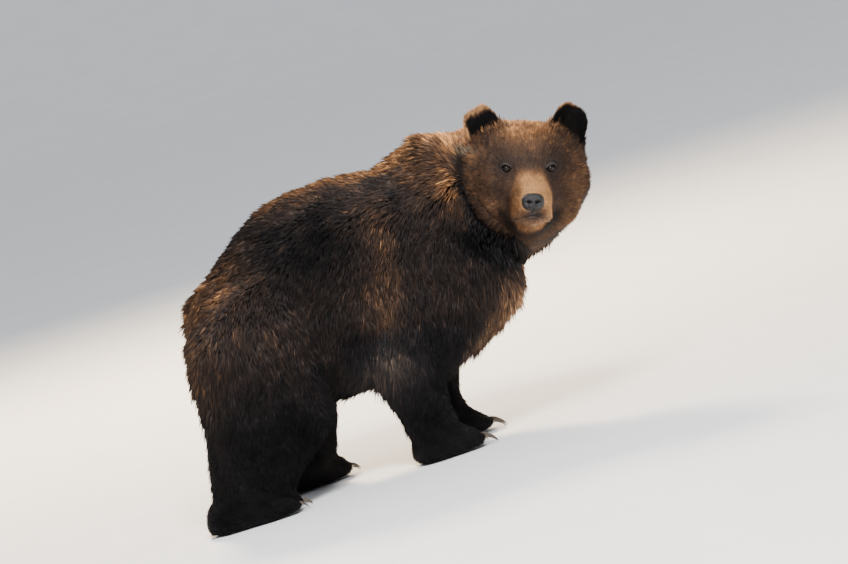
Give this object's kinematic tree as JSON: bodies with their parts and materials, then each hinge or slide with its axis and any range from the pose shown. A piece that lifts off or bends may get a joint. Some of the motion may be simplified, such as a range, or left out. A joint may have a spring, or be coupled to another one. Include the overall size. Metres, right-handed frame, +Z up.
{
  "type": "brown bear model",
  "caption": "Life-size brown bear as a still museum-type model, walking on level ground and looking back over its right shoulder.",
  "frame": {"origin": "on the floor, under the middle of the bounding box", "axes": "+X the way the body points, +Y the bear's left, +Z up; the head is turned to the bear's right, towards -Y"},
  "size_m": [1.55, 0.8234, 1.0202],
  "materials": {
    "coat_brown": "long brown fur, matte with a slight sheen",
    "coat_dark": "dense near-black brown fur, matte",
    "eye": "dark brown glass-like eye, wet gloss",
    "nose_skin": "pebbled dark grey skin, moist",
    "claw": "dark horn, satin"
  },
  "bodies": {
    "root": {"trunk": "coat_brown", "neck": "coat_brown", "head": "coat_brown", "tail": "coat_brown", "nose": "nose_skin", "ear_left": "coat_brown", "ear_right": "coat_brown", "eye_left": "eye", "eye_right": "eye", "leg_front_left": "coat_dark", "leg_front_right": "coat_dark", "leg_hind_left": "coat_dark", "leg_hind_right": "coat_dark", "claw_front_left_1": "claw", "claw_front_left_2": "claw", "claw_front_left_3": "claw", "claw_front_left_4": "claw", "claw_front_left_5": "claw", "claw_front_right_1": "claw", "claw_front_right_2": "claw", "claw_front_right_3": "claw", "claw_front_right_4": "claw", "claw_front_right_5": "claw", "claw_hind_left_1": "claw", "claw_hind_left_2": "claw", "claw_hind_left_3": "claw", "claw_hind_left_4": "claw", "claw_hind_left_5": "claw", "claw_hind_right_1": "claw", "claw_hind_right_2": "claw", "claw_hind_right_3": "claw", "claw_hind_right_4": "claw", "claw_hind_right_5": "claw"}
  },
  "joints": []
}
